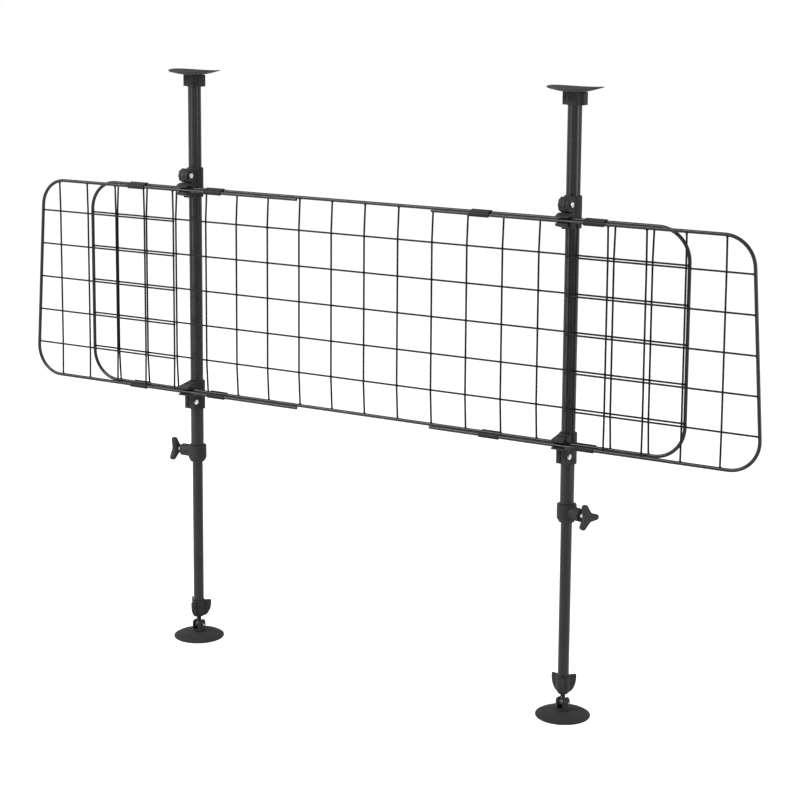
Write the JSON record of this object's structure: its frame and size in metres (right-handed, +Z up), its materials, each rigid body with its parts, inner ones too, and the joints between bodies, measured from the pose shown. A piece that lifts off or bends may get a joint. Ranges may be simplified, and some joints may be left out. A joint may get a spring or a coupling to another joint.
{
  "type": "car dog guard",
  "caption": "Sliding wire mesh barrier on two telescopic clamping posts that keeps a dog in the boot of a car.",
  "frame": {"origin": "on the floor midway between the two posts, in the plane of the posts' axes", "axes": "+X along the panels, +Y from the panels towards the posts and the seats, +Z up"},
  "size_m": [1.3058, 0.084, 0.9578],
  "materials": {
    "wire_paint": "satin black powder coat",
    "tube_paint": "satin black powder coat",
    "clip_plastic": "satin black",
    "moulded_plastic": "fine-grained black",
    "pad_rubber": "matte dark grey",
    "bright_steel": "zinc plated",
    "black_steel": "black oxide"
  },
  "bodies": {
    "centre_panel": {"centre_frame": "wire_paint", "centre_mesh": "wire_paint", "left_outer_top_clip": "clip_plastic", "left_inner_top_clip": "clip_plastic", "left_outer_bottom_clip": "clip_plastic", "left_inner_bottom_clip": "clip_plastic", "right_outer_top_clip": "clip_plastic", "right_inner_top_clip": "clip_plastic", "right_outer_bottom_clip": "clip_plastic", "right_inner_bottom_clip": "clip_plastic"},
    "left_wing": {"left_wing_frame": "wire_paint", "left_wing_mesh": "wire_paint"},
    "right_wing": {"right_wing_frame": "wire_paint", "right_wing_mesh": "wire_paint"},
    "left_brackets": {"left_upper_bracket_body": "moulded_plastic", "left_upper_bracket_jaw": "moulded_plastic", "left_upper_bracket_bolt": "bright_steel", "left_lower_bracket_body": "moulded_plastic", "left_lower_bracket_jaw": "moulded_plastic", "left_lower_bracket_cheek": "moulded_plastic", "left_lower_bracket_bolt": "bright_steel"},
    "left_bracket_knob": {"left_upper_bracket_knob": "moulded_plastic"},
    "left_upper_post": {"left_upper_tube": "tube_paint", "left_top_hub": "moulded_plastic", "left_top_pad": "pad_rubber", "left_height_collar": "moulded_plastic"},
    "left_shoe": {"left_clamp_shoe": "black_steel"},
    "left_clamp": {"left_clamp_screw": "bright_steel", "left_clamp_knob": "moulded_plastic"},
    "left_lower_post": {"left_lower_tube": "tube_paint", "left_tube_bush": "moulded_plastic", "left_foot_insert": "moulded_plastic"},
    "left_nut": {"left_foot_wing_nut": "moulded_plastic"},
    "left_stud": {"left_foot_stud": "black_steel"},
    "left_foot": {"left_foot_hub": "moulded_plastic", "left_foot_pin": "bright_steel", "left_foot_pad": "pad_rubber"},
    "right_brackets": {"right_upper_bracket_body": "moulded_plastic", "right_upper_bracket_jaw": "moulded_plastic", "right_upper_bracket_bolt": "bright_steel", "right_lower_bracket_body": "moulded_plastic", "right_lower_bracket_jaw": "moulded_plastic", "right_lower_bracket_cheek": "moulded_plastic", "right_lower_bracket_bolt": "bright_steel"},
    "right_bracket_knob": {"right_upper_bracket_knob": "moulded_plastic"},
    "right_upper_post": {"right_upper_tube": "tube_paint", "right_top_hub": "moulded_plastic", "right_top_pad": "pad_rubber", "right_height_collar": "moulded_plastic"},
    "right_shoe": {"right_clamp_shoe": "black_steel"},
    "right_clamp": {"right_clamp_screw": "bright_steel", "right_clamp_knob": "moulded_plastic"},
    "right_lower_post": {"right_lower_tube": "tube_paint", "right_tube_bush": "moulded_plastic", "right_foot_insert": "moulded_plastic"},
    "right_nut": {"right_foot_wing_nut": "moulded_plastic"},
    "right_stud": {"right_foot_stud": "black_steel"},
    "right_foot": {"right_foot_hub": "moulded_plastic", "right_foot_pin": "bright_steel", "right_foot_pad": "pad_rubber"}
  },
  "joints": [
    {"name": "left_wing_slide", "type": "slide", "parent": "centre_panel", "child": "left_wing", "axis": [-1, 0, 0], "range_m": [-0.004, 0.135]},
    {"name": "right_wing_slide", "type": "slide", "parent": "centre_panel", "child": "right_wing", "axis": [1, 0, 0], "range_m": [0, 0.135]},
    {"name": "left_bracket_shift", "type": "slide", "parent": "centre_panel", "child": "left_brackets", "axis": [1, 0, 0], "range_m": [-0.005, 0.025]},
    {"name": "left_bracket_knob_turn", "type": "hinge", "parent": "left_brackets", "child": "left_bracket_knob", "pos_m": [-0.3405, -0.026, 0.787], "axis": [-1, 0, 0], "range_deg": [0, 540]},
    {"name": "left_panel_height", "type": "slide", "parent": "left_brackets", "child": "left_upper_post", "axis": [0, 0, 1], "range_m": [-0.128, 0.06]},
    {"name": "left_shoe_slide", "type": "slide", "parent": "left_upper_post", "child": "left_shoe", "axis": [-1, 0, 0], "range_m": [0, 0.0019]},
    {"name": "left_clamp_turn", "type": "hinge", "parent": "left_shoe", "child": "left_clamp", "pos_m": [-0.3405, 0, 0.3205], "axis": [-1, 0, 0], "range_deg": [0, 540]},
    {"name": "left_post_length", "type": "slide", "parent": "left_upper_post", "child": "left_lower_post", "axis": [0, 0, -1], "range_m": [-0.23, 0.16]},
    {"name": "left_nut_turn", "type": "hinge", "parent": "left_lower_post", "child": "left_nut", "pos_m": [-0.3405, 0, 0.035], "axis": [0, 0, 1], "range_deg": [-601, 1801]},
    {"name": "left_stud_slide", "type": "slide", "parent": "left_lower_post", "child": "left_stud", "axis": [0, 0, -1], "range_m": [-0.005, 0.015]},
    {"name": "left_foot_tilt", "type": "hinge", "parent": "left_stud", "child": "left_foot", "pos_m": [-0.3405, 0, 0.02], "axis": [1, 0, 0], "range_deg": [-25, 25]},
    {"name": "right_bracket_shift", "type": "slide", "parent": "centre_panel", "child": "right_brackets", "axis": [-1, 0, 0], "range_m": [0, 0.025]},
    {"name": "right_bracket_knob_turn", "type": "hinge", "parent": "right_brackets", "child": "right_bracket_knob", "pos_m": [0.3405, -0.026, 0.787], "axis": [-1, 0, 0], "range_deg": [0, 540]},
    {"name": "right_panel_height", "type": "slide", "parent": "right_brackets", "child": "right_upper_post", "axis": [0, 0, 1], "range_m": [-0.128, 0.06]},
    {"name": "right_shoe_slide", "type": "slide", "parent": "right_upper_post", "child": "right_shoe", "axis": [0.9511, -0.309, 0], "range_m": [0, 0.0019]},
    {"name": "right_clamp_turn", "type": "hinge", "parent": "right_shoe", "child": "right_clamp", "pos_m": [0.3405, 0, 0.3205], "axis": [0.9511, -0.309, 0], "range_deg": [0, 540]},
    {"name": "right_post_length", "type": "slide", "parent": "right_upper_post", "child": "right_lower_post", "axis": [0, 0, -1], "range_m": [-0.23, 0.16]},
    {"name": "right_nut_turn", "type": "hinge", "parent": "right_lower_post", "child": "right_nut", "pos_m": [0.3405, 0, 0.035], "axis": [0, 0, 1], "range_deg": [-601, 1801]},
    {"name": "right_stud_slide", "type": "slide", "parent": "right_lower_post", "child": "right_stud", "axis": [0, 0, -1], "range_m": [-0.005, 0.015]},
    {"name": "right_foot_tilt", "type": "hinge", "parent": "right_stud", "child": "right_foot", "pos_m": [0.3405, 0, 0.02], "axis": [1, 0, 0], "range_deg": [-25, 25]}
  ],
  "couplings": [
    {"joint": "left_shoe_slide", "follows": "left_clamp_turn", "m_per_rad": 0.00019894},
    {"joint": "right_shoe_slide", "follows": "right_clamp_turn", "m_per_rad": 0.00019894},
    {"joint": "left_nut_turn", "follows": "left_stud_slide", "rad_per_m": 2094.4},
    {"joint": "right_nut_turn", "follows": "right_stud_slide", "rad_per_m": 2094.4}
  ]
}
